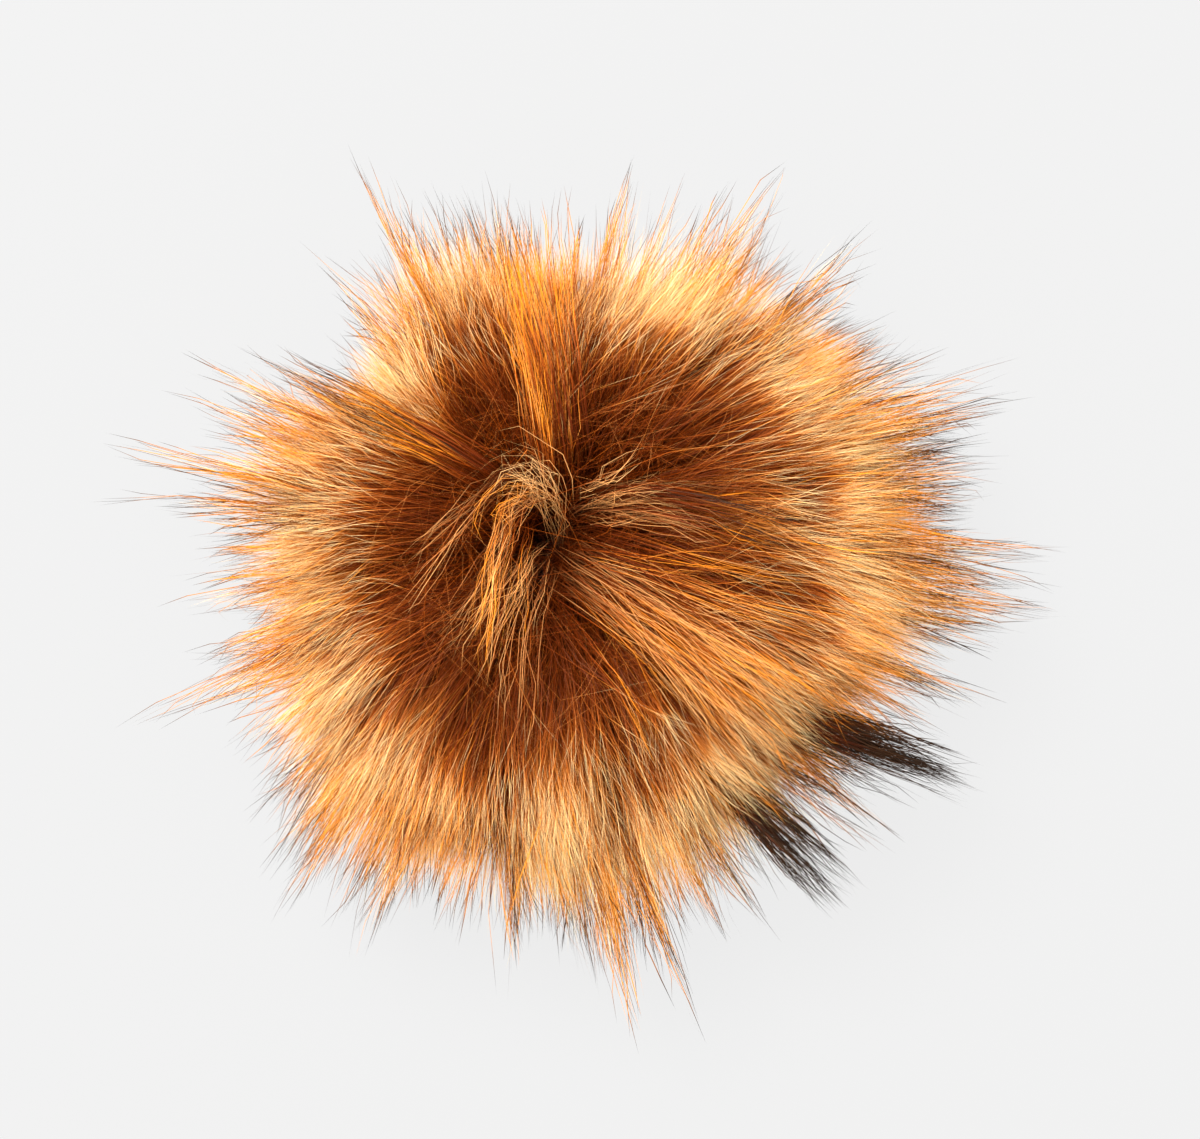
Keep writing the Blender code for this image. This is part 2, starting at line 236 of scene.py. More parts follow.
# --- dyes from root to tip: a place along the hair and a colour, or two and the second's share ---
DEEP = ((0.0, "root"), (0.36, "root", "rust", 0.45), (0.54, "rust"), (0.66, "rust", "copper", 0.45),
        (0.72, "copper"))
ORANGE = DEEP + ((0.78, "copper", "amber", 0.7), (0.86, "amber"))
PALE_DYE = ((0.0, "root"), (0.32, "root", "rust", 0.5), (0.48, "rust", "copper", 0.4),
            (0.62, "copper", "tan", 0.55), (0.73, "tan", "cream", 0.3), (0.8, "cream"),
            (0.95, "cream"), (1.0, "cream", "amber", 0.15))
TAN_DYE = DEEP + ((0.755, "tan"), (0.785, "tan", "cream", 0.65), (0.805, "cream"), (0.95, "cream"),
                  (1.0, "cream", "amber", 0.2))
GOLD_DYE = DEEP + ((0.76, "tan"), (0.8, "tan", "cream", 0.8), (0.88, "cream", "amber", 0.3),
                   (0.94, "amber", "cream", 0.3), (1.0, "amber", "cream", 0.2))
RUST_DYE = ORANGE + ((0.96, "amber"), (1.0, "amber", "black", 0.7))
BLACK_TIPPED_DYE = ORANGE + ((0.93, "amber", "black", 0.7), (1.0, "black"))
SOOTY_DYE = DEEP[:2] + ((0.6, "rust"), (0.68, "rust", "black", 0.5), (0.77, "black"))
CREST_DYES = (((0.0, "root"), (0.32, "root", "rust", 0.6), (0.48, "rust", "beige", 0.3),
               (0.6, "rust", "beige", 0.75), (0.72, "beige"), (1.0, "beige", "cream", 0.6)),
              ((0.0, "root"), (0.5, "rust"), (0.66, "rust", "copper", 0.6), (0.8, "copper"), (1.0, "amber")))
FUZZ_DYES = (((0.0, "root"), (0.4, "rust"), (0.75, "copper"), (1.0, "copper", "beige", 0.8)),
             ((0.0, "root"), (0.55, "rust"), (1.0, "copper")))
WOOL_DYES = (((0.0, "root"), (0.7, "root", "rust", 0.6), (1.0, "rust")),
             ((0.0, "root"), (1.0, "root", "rust", 0.6)))
GUARD_ROOT = ((0.0, "root"), (0.5, "root", "rust", 0.7))
GUARD_DYES = (GUARD_ROOT + ((0.7, "rust", "amber", 0.4), (0.78, "amber"), (0.86, "amber"),
                            (0.9, "amber", "black", 0.7), (0.96, "black")),
              GUARD_ROOT + ((0.66, "rust", "black", 0.3), (0.76, "rust", "black", 0.8), (0.84, "black"),
                            (1.0, "black")))

# The pile's dyes in the order of their shades: name, plainest and strongest, light let through.
PILE_DYES = (("cream", (PALE_DYE, TAN_DYE), 0.42),
             ("amber", (GOLD_DYE, RUST_DYE), 0.42),
             ("tipped", (BLACK_TIPPED_DYE, SOOTY_DYE), 0.25))

# What each step adds to its seed.
WOOL_SEED, PILE_SEED, FUZZ_SEED, GUARD_SEED, TUFT_SEED = 1, 2, 4, 5, 6


# ------------------------------------------------------------------ geometry


def unit(vectors):
    """Vectors scaled to length 1, along the last axis."""
    return vectors / np.maximum(np.linalg.norm(vectors, axis=-1, keepdims=True), 1e-9)


def smooth_step(value, low, high):
    """0 below low, 1 above high, and a smooth rise between them."""
    share = np.clip((value - low) / (high - low), 0.0, 1.0)
    return share * share * (3.0 - 2.0 * share)


def read_table(table, column, value):
    """Cubic through a column against the first column, its slopes taken from the rows beside."""
    places = table[table.dtype.names[0]]
    sizes = table[column]
    slopes = np.gradient(sizes, places)
    row = np.clip(np.searchsorted(places, value) - 1, 0, len(places) - 2)
    width = places[row + 1] - places[row]
    share = np.clip((value - places[row]) / width, 0.0, 1.0)
    rise = share * share * (3.0 - 2.0 * share)
    start_bend = share * (1.0 - share) ** 2 * width * slopes[row]
    end_bend = share * share * (share - 1.0) * width * slopes[row + 1]
    return sizes[row] * (1.0 - rise) + sizes[row + 1] * rise + start_bend + end_bend


def from_whorl(directions):
    """Angle from the whorl and azimuth round it, in degrees, fading to the upright axis below."""
    axis = unit(np.append(WHORL_LEAN, 1.0))
    shift = axis[:2] * 2.0 / (1.0 + axis[2])
    height = directions[..., 2:3]
    turned = unit(np.concatenate([directions[..., :2] - shift * (1.0 + height) / 2.0, height], axis=-1))
    angle = np.degrees(np.arccos(np.clip(turned[..., 2], -1.0, 1.0)))
    azimuth = np.degrees(np.arctan2(turned[..., 1], turned[..., 0])) % 360.0
    return angle, azimuth


def rim_lock_at(azimuth):
    """Row of the rim lock that a hair at this azimuth belongs to: the nearest round the rim."""
    places = RIM_LOCKS["azimuth"]
    between = (places[1:] + places[:-1]) / 2.0
    return np.searchsorted(between, azimuth)


def pile_tip(directions, extent):
    """Where the pile rooted in these directions ends.

    Distance and height come from the table of tips. At the rim the distance is scaled
    from the close pile's reach, for an extent of 0, to a ragged edge, for an extent of
    1, or to the reach of a rim lock where one is near, and the hair turns towards that
    lock's point as it grows.
    """
    angle, azimuth = from_whorl(directions)
    lock = RIM_LOCKS[rim_lock_at(azimuth)]
    aside = azimuth - lock["azimuth"]
    in_lock = np.exp(-(aside / RIM_LOCK_WIDTH) ** 2)
    close = read_table(CLOSE_PILE, "reach", azimuth)
    reach = close + RAGGED_EDGE * extent + (lock["reach"] - close - RAGGED_EDGE) * in_lock * extent ** 2
    distance = read_table(TIPS, "distance", angle)
    height = read_table(TIPS, "height", angle)
    rim_share = smooth_step(distance, 0.0, MEAN_REACH)
    distance = distance * (1.0 + (reach / MEAN_REACH - 1.0) * rim_share)
    drawn = rim_share * in_lock * np.clip(extent, 0.0, 1.0)
    turn = np.radians(azimuth - aside * TURN_TO_POINT * drawn + lock["lean"] * drawn ** 2)
    whorl_share = (height / WHORL_HEIGHT * (1.0 - rim_share))[..., None]
    flat = np.stack([distance * np.cos(turn), distance * np.sin(turn)], axis=-1) + WHORL * whorl_share
    return np.concatenate([flat, height[..., None]], axis=-1)


def pile_point(directions, along, extent):
    """Quadratic curve from the ball, squarely off it, over to the tip of the pile."""
    root = directions * BALL_RADIUS + np.array([0.0, 0.0, BALL_HEIGHT])
    tip = pile_tip(directions, extent)
    span = np.linalg.norm(tip - root, axis=-1, keepdims=True)
    rise = np.clip(directions[..., 2:3], 0.0, 1.0) ** 2
    bend = root + directions * span * (BEND_REACH + (TOP_BEND_REACH - BEND_REACH) * rise)
    bend[..., 2] = np.maximum(bend[..., 2], tip[..., 2])
    along = along[..., None]
    return (1.0 - along) ** 2 * root + 2.0 * along * (1.0 - along) * bend + along ** 2 * tip


def camera_place():
    """Point of the floor under the camera, from the place of the pom pom's axis in the photograph."""
    return ((PHOTO_WIDTH / 2.0 - AXIS_IN_PHOTO[0]) / PIXELS_PER_MM,
            (AXIS_IN_PHOTO[1] - PHOTO_HEIGHT / 2.0) / PIXELS_PER_MM)


def photo_scale(height):
    """Pixels of the photograph to a millimetre at this height: nearer the camera is larger."""
    return PIXELS_PER_MM * (CAMERA_HEIGHT - SHARP_HEIGHT) / (CAMERA_HEIGHT - height)


def in_photo(points):
    """Place in the photograph of points seen by the camera straight above."""
    centre = camera_place()
    scale = photo_scale(points[..., 2])
    across = PHOTO_WIDTH / 2.0 + (points[..., 0] - centre[0]) * scale
    down = PHOTO_HEIGHT / 2.0 - (points[..., 1] - centre[1]) * scale
    return across, down


def from_photo(across, down, height):
    """Point at this height that the camera sees at this place in the photograph."""
    centre = camera_place()
    scale = photo_scale(height)
    return np.stack([centre[0] + (across - PHOTO_WIDTH / 2.0) / scale,
                     centre[1] - (down - PHOTO_HEIGHT / 2.0) / scale, height + 0.0 * across], axis=-1)


def direction(height, turn):
    """Unit vectors of this height, at this turn round the upright axis."""
    flat = np.sqrt(np.clip(1.0 - height ** 2, 0.0, 1.0))
    return np.stack([flat * np.cos(turn), flat * np.sin(turn), height], axis=-1)


def spread_directions(count, random, upper_share):
    """Directions over the ball down to the neck, closer together over its upper part.

    The cosine of the angle from the top is drawn evenly, which spreads points evenly
    over a ball: over the whole pile, or for a share of the points over its upper part.
    """
    upper = random.random(count) < upper_share
    height = random.uniform(np.where(upper, UPPER_PART, LOWEST), 1.0)
    return direction(height, random.uniform(0.0, FULL_TURN, count))


def even_directions(count, random, stray):
    """Directions on a golden-angle spiral over the ball, each moved a little at random."""
    place = (np.arange(count) + 0.5) / count
    golden_angle = math.pi * (3.0 - math.sqrt(5.0))
    directions = direction(1.0 - (1.0 - LOWEST) * place, np.arange(count) * golden_angle)
    spacing = math.sqrt(2.0 * FULL_TURN / count)
    return unit(directions + random.uniform(-1.0, 1.0, directions.shape) * spacing * stray)


def nearest(directions, guides):
    """Number of the nearest guide direction to each direction."""
    found = np.empty(len(directions), int)
    block = 1024
    for start in range(0, len(directions), block):
        found[start:start + block] = np.argmax(directions[start:start + block] @ guides.T, axis=1)
    return found


class Guides:
    """Locks and clumps that the hairs draw together into, and how each leans and how long it is."""

    def __init__(self, pile):
        random = np.random.default_rng(pile.seed)
        self.locks = even_directions(pile.locks, random, LOCK_STRAY)
        self.clumps = even_directions(pile.clumps, random, CLUMP_STRAY)
        self.lock_of_clump = nearest(self.clumps, self.locks)
        self.lock_lean = random.normal(0.0, LOCK_LEAN, (pile.locks, 3))
        self.clump_lean = random.normal(0.0, CLUMP_LEAN, (pile.clumps, 3))
        lock_length = 1.0 - LOCK_UNEVEN * random.random(pile.locks)
        clump_length = 1.0 - CLUMP_UNEVEN * random.random(pile.clumps)
        self.length = lock_length[self.lock_of_clump] * clump_length
        self.wave = random.normal(0.0, 1.0, (pile.clumps, 2, 3))
        self.phase = random.uniform(0.0, FULL_TURN, (pile.clumps, 2))
        lock_noise = random.random(pile.locks)[self.lock_of_clump]
        self.noise = LOCK_NOISE * lock_noise + (1.0 - LOCK_NOISE) * random.random(pile.clumps)
        self.streak_phase = random.uniform(0.0, FULL_TURN, len(STREAKS))

    def streaks(self, azimuth):
        """Even waves round the whorl, summed, at each of these azimuths: about -1 to 1."""
        turn = np.radians(azimuth)[:, None] * STREAKS + self.streak_phase
        return np.sin(turn).sum(axis=1) / math.sqrt(len(STREAKS))


class Hairs:
    """A number of hairs and how each grows.

    Each step sets for its own kind the length, a share of the full length; the clumping,
    the share of the way to its clump that a tip is drawn; the lean, how far it strays
    from there; and the crimp, the size of its waves. Extent, how far out at the rim it
    reaches, and crinkle, the size of its unevenness, hold for every kind that sets none.
    """

    def __init__(self, guides, roots, random):
        self.guides = guides
        self.random = random
        self.roots = roots
        self.count = len(roots)
        self.clump = nearest(roots, guides.clumps)
        self.extent = np.zeros(self.count)
        self.crinkle = 0.08

    def paths(self, stops):
        """Points along the hairs at these shares of their length.

        The direction that a hair follows moves from its own root to its clump's and part
        of the way to its lock's as it goes out, and leans away with both. The wave is a
        pair of slow sines, partly the clump's and partly the hair's own.
        """
        guides = self.guides
        lock = guides.lock_of_clump[self.clump]
        along = stops[None, :]
        draw = smooth_step(along, 0.0, 0.95) * self.clumping[:, None]
        pull = np.interp(from_whorl(self.roots)[0], PULL_ANGLES, LOCK_PULL)
        lock_draw = smooth_step(along, 0.1, 1.1) * pull[:, None]
        own = self.roots[:, None, :]
        to_clump = guides.clumps[self.clump][:, None, :]
        to_lock = guides.locks[lock][:, None, :]
        followed = own + draw[..., None] * (to_clump - own) + lock_draw[..., None] * (to_lock - to_clump)
        leaning = guides.lock_lean[lock] + guides.clump_lean[self.clump]
        followed = followed + leaning[:, None, :] * (along ** 1.5)[..., None]
        own_lean = self.random.normal(0.0, 1.0, (self.count, 1, 3)) * self.lean[:, None, None]
        followed = unit(followed + own_lean * (along ** 2)[..., None])
        self.reach = along * (guides.length[self.clump] * self.length)[:, None]
        points = pile_point(followed, self.reach, np.broadcast_to(self.extent[:, None], self.reach.shape))
        size = np.sin(along * math.pi * 0.5)[..., None]
        clump_wave = guides.wave[self.clump] * 0.5
        points = points + size * waves(along, guides.phase[self.clump], clump_wave, CLUMP_CYCLES)
        own_wave = self.random.normal(0.0, 1.0, (self.count, 2, 3)) * self.crimp[:, None, None]
        own_phase = self.random.uniform(0.0, FULL_TURN, (self.count, 2))
        points = points + size * waves(along, own_phase, own_wave, HAIR_CYCLES)
        return above_floor(points + crinkle(points.shape, self.crinkle, stops, self.random))


def crinkle(shape, size, stops, random):
    """Small unevenness of each point of each hair, none at the root."""
    return random.normal(0.0, 1.0, shape) * np.reshape(size, (-1, 1, 1)) * np.sqrt(stops)[None, :, None]


def waves(along, phase, sizes, cycles):
    """Sum of slow sines along each hair, each with its own phase and its own sideways size."""
    swing = np.sin(FULL_TURN * np.array(cycles) * along[..., None] + phase[:, None, :])
    return np.einsum("nsk,nkd->nsd", swing, sizes)


def above_floor(points):
    """Ease hairs that would pass under the floor to lie just over it."""
    lowest = 0.25
    room = 3.0
    height = points[..., 2]
    eased = lowest + room * np.logaddexp(0.0, (height - lowest) / room * 2.0) / 2.0
    points[..., 2] = np.where(height < 3.0 * room, eased, height)
    return points


def side_by_side(*columns):
    """Numbers for every face at once: the columns, broadcast to each other, read row by row."""
    return np.stack(np.broadcast_arrays(*columns), axis=-1).reshape(-1)


def mesh_from_faces(name, places, groups):
    """Smooth mesh of places in millimetres and groups of like faces.

    A group is how many corners its faces have, the numbers of those corners, and for
    each corner its place across and up the map.
    """
    corners = np.concatenate([numbers for _, numbers, _ in groups])
    sizes = np.concatenate([np.full(len(numbers) // size, size) for size, numbers, _ in groups])
    uv = np.concatenate([across_and_up for _, _, across_and_up in groups])
    mesh = bpy.data.meshes.new(name)
    mesh.vertices.add(len(places))
    mesh.vertices.foreach_set("co", (places * MM).astype(np.float32).reshape(-1))
    mesh.loops.add(len(corners))
    mesh.loops.foreach_set("vertex_index", corners.astype(np.int32))
    mesh.polygons.add(len(sizes))
    mesh.polygons.foreach_set("loop_start", (np.cumsum(sizes) - sizes).astype(np.int32))
    mesh.polygons.foreach_set("use_smooth", np.ones(len(sizes), bool))
    mesh.update(calc_edges=True)
    mesh.uv_layers.new(name=UV_MAP).data.foreach_set("uv", uv.astype(np.float32))
    return mesh


def strands_mesh(name, points, widths, tones, levels, random):
    """One mesh of flat tapering strands, each a ribbon turned at random that ends in a point.

    The UV map lays each strand as a narrow upright strip: across it is the strand's
    tone, and up it is how far out in the pile each point's colour comes from.
    """
    count, stops, _ = points.shape
    rings = stops - 1
    aside = unit(random.normal(0.0, 1.0, (count, 1, 3)))
    across = unit(np.cross(unit(np.gradient(points, axis=1)), aside)) * (widths * 0.5)[..., None]
    edges = np.stack([points + across, points - across], axis=2)[:, :rings]
    places = np.concatenate([edges.reshape(count, 2 * rings, 3), points[:, -1:]], axis=1)
    first = (np.arange(count) * (2 * rings + 1))[:, None]
    quad = first + 2 * np.arange(rings - 1)
    end = first + 2 * (rings - 1)
    middle = 0.01 + 0.98 * tones[:, None]
    left, right = middle - STRIP_HALF, middle + STRIP_HALF
    level = 0.003 + 0.994 * np.clip(np.broadcast_to(levels, (count, stops)), 0.0, 1.0)
    low, high = level[:, :-2], level[:, 1:-1]
    before_end, at_end = level[:, -2:-1], level[:, -1:]
    return mesh_from_faces(name, places.reshape(-1, 3), [
        (4, side_by_side(quad, quad + 1, quad + 3, quad + 2),
         side_by_side(left, low, right, low, right, high, left, high)),
        (3, side_by_side(end, end + 1, end + 2),
         side_by_side(left, before_end, right, before_end, middle, at_end))])


# ------------------------------------------------------------------ shaders


class Socket:
    """A shader output with the operators that the materials use."""

    def __init__(self, tree, output):
        self.tree = tree
        self.output = output

    def math(self, operation, *others):
        """Add a Math node on this value, and on another one or a number if it takes two."""
        return self.tree.node("ShaderNodeMath", {"operation": operation}, dict(enumerate((self, *others))))

    def __add__(self, other):
        return self.math("ADD", other)

    def __sub__(self, other):
        return self.math("SUBTRACT", other)

    def __mul__(self, other):
        return self.math("MULTIPLY", other)

    def clamp(self):
        return self.tree.node("ShaderNodeClamp", {}, {"Value": self.output})

    def beside(self, number):
        """Another output of the same node."""
        return Socket(self.tree, self.output.node.outputs[number])


class Tree:
    """Node tree of one material, with one way to add a node."""

    def __init__(self, name, owner=None):
        self.material = owner or bpy.data.materials.new(name)
        self.material.use_nodes = True
        self.nodes = self.material.node_tree.nodes
        self.links = self.material.node_tree.links
        self.nodes.clear()

    def node(self, kind, settings, values, output=0):
        """Add a node: its settings, or a ramp's stops, are set before its sockets' values or links."""
        node = self.nodes.new(kind)
        for name, setting in settings.items():
            if name == "stops":
                set_stops(node.color_ramp, setting)
            else:
                setattr(node, name, setting)
        for name, value in values.items():
            source = getattr(value, "output", value)
            if isinstance(source, bpy.types.NodeSocket):
                self.links.new(source, node.inputs[name])
            else:
                node.inputs[name].default_value = source
        return Socket(self, node.outputs[output])

    def finish(self, shader, kind="ShaderNodeOutputMaterial"):
        """Send a shader to the surface and give the material."""
        self.links.new(shader.output, self.nodes.new(kind).inputs["Surface"])
        return self.material


def set_stops(ramp, stops):
    """Give a colour ramp these (place, colour) stops."""
    while len(ramp.elements) > 1:
        ramp.elements.remove(ramp.elements[-1])
    for number, (place, colour) in enumerate(stops):
        element = ramp.elements[0] if number == 0 else ramp.elements.new(place)
        element.position = place
        element.color = (*colour, 1.0)


def linear(colour):
    """Linear light of a colour given as 0 to 255 on the screen."""
    shares = np.array(colour, float) / 255.0
    return tuple(np.where(shares <= 0.04045, shares / 12.92, ((shares + 0.055) / 1.055) ** 2.4))


def mixed(dye, first, second=None, share=0.0):
    """A colour of the dye, or one with this share of a second mixed in."""
    return tuple(a + (b - a) * share for a, b in zip(getattr(dye, first), getattr(dye, second or first)))


def hair_material(name, dye, tables, glow_share):
    """Hair whose colour runs from root to tip, between two ways of dyeing across its map.

    Across the map a slow wave also moves the colours up or down a hair and makes some
    hairs deeper. Light passes through a hair where it is pale, and not where it is dark.
    """
    tree = Tree(name)
    coordinates = tree.node("ShaderNodeUVMap", {"uv_map": UV_MAP}, {})
    tone = tree.node("ShaderNodeSeparateXYZ", {}, {0: coordinates})
    waves_across = FULL_TURN * COLOUR_WAVES
    out_of_step = 0.618
    swing = (tone * waves_across).math("SINE")
    depth = (tone * (waves_across * out_of_step)).math("SINE")
    place = (tone.beside(1) + swing * 0.02).clamp()
    ramps = [[(stop, mixed(dye, *colours)) for stop, *colours in table] for table in tables]
    plainest, strongest = (
        tree.node("ShaderNodeValToRGB", {"stops": ramp}, {"Fac": place}) for ramp in ramps)
    dyed = tree.node("ShaderNodeMix", {"data_type": "RGBA"}, {0: tone, 6: plainest, 7: strongest}, output=2)
    deeper = tree.node("ShaderNodeMix", {"data_type": "RGBA", "blend_type": "MULTIPLY"},
                       {0: depth * 0.22 + 0.25, 6: dyed, 7: (0.66, 0.5, 0.36, 1.0)}, output=2)
    gloss = tree.node("ShaderNodeBsdfPrincipled", {}, {
        "Base Color": deeper, "Roughness": 0.45, "IOR": 1.5, "Specular IOR Level": 0.1,
        "Specular Tint": (1.0, 0.75, 0.5, 1.0)})
    through = tree.node("ShaderNodeBsdfTranslucent", {}, {"Color": (*dye.glow, 1.0)})
    red = tree.node("ShaderNodeSeparateColor", {}, {0: deeper})
    share = ((red - 0.12) * 1.6).clamp() * glow_share
    return tree.finish(tree.node("ShaderNodeMixShader", {}, {0: share, 1: gloss, 2: through}))


# ------------------------------------------------------------------ properties


def colour(name, description, screen):
    """Property that holds a colour, given as 0 to 255 on the screen."""
    return FloatVectorProperty(name=name, description=description, subtype="COLOR", default=linear(screen))


def amount(name, description, default):
    """Property that holds a number of hairs, clumps or locks."""
    return IntProperty(name=name, description=description, default=default, min=20)


def length(name, description, millimetres):
    """Property that holds a length, given in millimetres."""
    return FloatProperty(name=name, description=description, default=millimetres * MM, unit="LENGTH",
                         precision=6)


def strength(name, description, default):
    """Property that holds the strength of a light."""
    return FloatProperty(name=name, description=description, default=default)


class PomPomPile(bpy.types.PropertyGroup):
    """How the pile grows."""

    locks: amount("Locks", "Large locks that the pile falls into", 330)
    clumps: amount("Clumps", "Small pointed clumps", 8000)
    wool_hairs: amount("Wool hairs", "Short hairs next to the ground", 5000)
    pile_hairs: amount("Pile hairs", "Hairs of the long pile, in all its dyes", 84000)
    fuzz_hairs: amount("Fuzz hairs", "Fine crinkled hairs round the whorl", 3800)
    guard_hairs: amount("Guard hairs", "Long coarse hairs over the pile", 6500)
    hair_width: length("Hair width", "Width of a pile hair at its middle", 0.088)
    guard_width: length("Guard hair width", "Width of a guard hair", 0.122)
    seed: IntProperty(name="Seed", description="Number that the random growth starts from", default=7)


class PomPomDye(bpy.types.PropertyGroup):
    """Colours of the pile."""

    root: colour("Root", "Colour at the ground", (30, 9, 1))
    rust: colour("Rust", "Colour of the lower pile", (88, 30, 2))
    copper: colour("Copper", "Colour between rust and tan", (168, 78, 13))
    tan: colour("Tan", "Colour of the middle of the pile", (242, 153, 50))
    beige: colour("Beige", "Pale strands round the whorl", (236, 172, 104))
    cream: colour("Cream", "Palest colour of the pile", (255, 229, 170))
    amber: colour("Amber", "Strong orange near the tips", (255, 148, 12))
    black: colour("Black", "Colour of the darkest tips", (26, 19, 16))
    glow: colour("Glow", "Light that comes through the pile", (255, 220, 150))


class PomPomStage(bpy.types.PropertyGroup):
    """Floor, lights and camera."""

    floor: colour("Floor", "Colour of the floor", (238, 238, 238))
    camera_height: length("Camera height", "Height of the camera over the floor", CAMERA_HEIGHT)
    floor_light: strength("Floor light", "Light that the floor gives off itself", 0.935)
    softbox_power: strength("Softbox power", "Power of the large soft light", 15.0)
    sky_light: strength("Sky light", "Strength of the light from straight above", 1.56)
    side_light: strength("Side light", "Strength of the light from all round the horizon", 3.4)


# ------------------------------------------------------------------ pieces


def add_piece(name, mesh, material):
    """Put a finished mesh in the scene as a piece of the pom pom."""
    mesh.materials.append(material)
    piece = bpy.data.objects.new(name, mesh)
    bpy.context.scene.collection.objects.link(piece)
    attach(piece, BODY)
    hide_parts(NODE)
    return piece


def random_for(pile, step_seed):
    """Random numbers of one step of the growth."""
    return np.random.default_rng(pile.seed * 100 + step_seed)


def taper(stops, tip_share):
    """Widths along a hair: it swells to its widest place and thins to its tip."""
    full = ROOT_WIDTH + (1.0 - ROOT_WIDTH) * np.sin(np.clip(stops / WIDEST, 0.0, 1.0) * math.pi / 2.0)
    return full * (1.0 - (1.0 - tip_share) * smooth_step(stops, WIDEST, 1.0))


def hair_widths(count, width, stops, random, coarse_share, tip_share=0.55):
    """Widths of hairs along their length: most are fine, and a share of them is coarse."""
    coarse = random.random(count) < coarse_share
    share = np.where(coarse, random.uniform(1.3, 1.6, count), random.uniform(0.7, 1.1, count))
    return width * taper(stops, tip_share)[None, :] * share[:, None]


class POMPOM_OT_ground(bpy.types.Operator):
    """The ball of knitted ground, gathered into a neck underneath"""

    bl_idname = "pompom.ground"
    bl_label = "Gathered ground"

    def execute(self, context):
        mesh = ground_mesh()
        tree = Tree("ground")
        place = tree.node("ShaderNodeTexCoord", {}, {}, output=3)
        rows = tree.node("ShaderNodeTexWave", {"wave_type": "BANDS", "bands_direction": "Z"},
                         {"Vector": place, "Scale": 260.0, "Distortion": 1.2}, output=1)
        bump = tree.node("ShaderNodeBump", {}, {"Height": rows, "Strength": 0.35, "Distance": 0.0004})
        dye = context.scene.pompom_dye
        shader = tree.node("ShaderNodeBsdfPrincipled", {}, {
            "Base Color": (*[share * 0.8 for share in dye.root], 1.0), "Roughness": 0.85, "Normal": bump})
        piece = add_piece("ground", mesh, tree.finish(shader))
        return {"FINISHED"}


def ground_mesh():
    """Ball drawn in to a neck: rings down its section, turned round the upright axis.

    The section runs over the ball to the neck's waist and out to its flat foot. Gathers
    are ripples round the axis that deepen towards the neck and end at the foot.
    """
    turns, ball_rings, neck_rings = 96, 30, 6
    ball = BALL_RADIUS * GROUND_SHARE
    angle = np.radians(np.linspace(0.0, NECK_ANGLE, ball_rings + 1))[1:]
    radius = ball * np.sin(angle)
    height = BALL_HEIGHT + ball * np.cos(angle)
    neck_share = np.linspace(0.0, 1.0, neck_rings + 1)[1:]
    neck_radius = radius[-1] + (NECK_RADIUS - radius[-1]) * np.sin(neck_share * math.pi / 2.0)
    neck_height = height[-1] + (NECK_HEIGHT - height[-1]) * neck_share
    radius = np.concatenate([radius, neck_radius, [BASE_RADIUS, BASE_RADIUS * 0.97]])[:, None]
    height = np.concatenate([height, neck_height, [0.9, 0.0]])[:, None]
    turn = np.arange(turns) / turns * FULL_TURN
    ripple = np.cos(turn * 16.0) * 0.7 + np.cos(turn * 7.0 + 1.0) * 0.3
    spread = radius + np.interp(height, GATHERS["height"], GATHERS["depth"]) * ripple
    rings_of_places = np.stack([spread * np.cos(turn), spread * np.sin(turn), height + 0.0 * turn], axis=-1)
    poles = [[0.0, 0.0, BALL_HEIGHT + ball], [0.0, 0.0, 0.0]]
    rings = len(radius)
    top, foot, last = rings * turns, rings * turns + 1, (rings - 1) * turns
    ring = np.arange(rings - 1)[:, None]
    side = np.arange(turns)
    after = (side + 1) % turns
    upper, lower = ring * turns, (ring + 1) * turns
    step = 1.0 / (rings + 1)
    left, middle, right = side / turns, (side + 0.5) / turns, (side + 1.0) / turns
    high, low = 1.0 - (ring + 1) * step, 1.0 - (ring + 2) * step
    return mesh_from_faces("ground", np.concatenate([rings_of_places.reshape(-1, 3), poles]), [
        (4, side_by_side(upper + side, lower + side, lower + after, upper + after),
         side_by_side(left, high, left, low, right, low, right, high)),
        (3, side_by_side(top, side, after),
         side_by_side(middle, 1.0, left, 1.0 - step, right, 1.0 - step)),
        (3, side_by_side(foot, last + after, last + side),
         side_by_side(middle, 0.0, right, step, left, step))])


class POMPOM_OT_wool(bpy.types.Operator):
    """Short fine wool that fills the pile next to the ground"""

    bl_idname = "pompom.wool"
    bl_label = "Wool"

    def execute(self, context):
        pile = context.scene.pompom_pile
        random = random_for(pile, WOOL_SEED)
        hairs = Hairs(Guides(pile), spread_directions(pile.wool_hairs, random, 0.5), random)
        hairs.length = random.uniform(0.35, 0.7, hairs.count)
        hairs.clumping = random.uniform(0.2, 0.7, hairs.count)
        hairs.lean = np.full(hairs.count, 0.05)
        hairs.crimp = random.uniform(0.3, 0.8, hairs.count)
        points = hairs.paths(WOOL_STOPS)
        widths = hair_widths(hairs.count, pile.hair_width / MM * WOOL_WIDTH, WOOL_STOPS, random, 0.0)
        tone = 0.5 * hairs.guides.noise[hairs.clump] + 0.5 * random.random(hairs.count)
        mesh = strands_mesh("wool", points, widths, tone, WOOL_STOPS, random)
        add_piece("wool", mesh, hair_material("wool", context.scene.pompom_dye, WOOL_DYES, 0.0))
        return {"FINISHED"}


def area_shades(points):
    """How strongly each hair belongs to each dye, from where its upper part shows."""
    strengths = np.zeros((len(points), 3))
    for area in AREAS:
        strengths[:, area["shade"]] += area["strength"] * nearness(points, area)
    return strengths


def nearness(points, area):
    """1 in the middle of an area of the photograph, falling off smoothly past its radius."""
    across, down = in_photo(points)
    away = (across - area["photo_x"]) ** 2 + (down - area["photo_y"]) ** 2
    return np.exp(-away / area["radius"] ** 2)


def inside_any(points, areas):
    """Nearness to the nearest of several areas."""
    return np.max([nearness(points, area) for area in areas], axis=0)


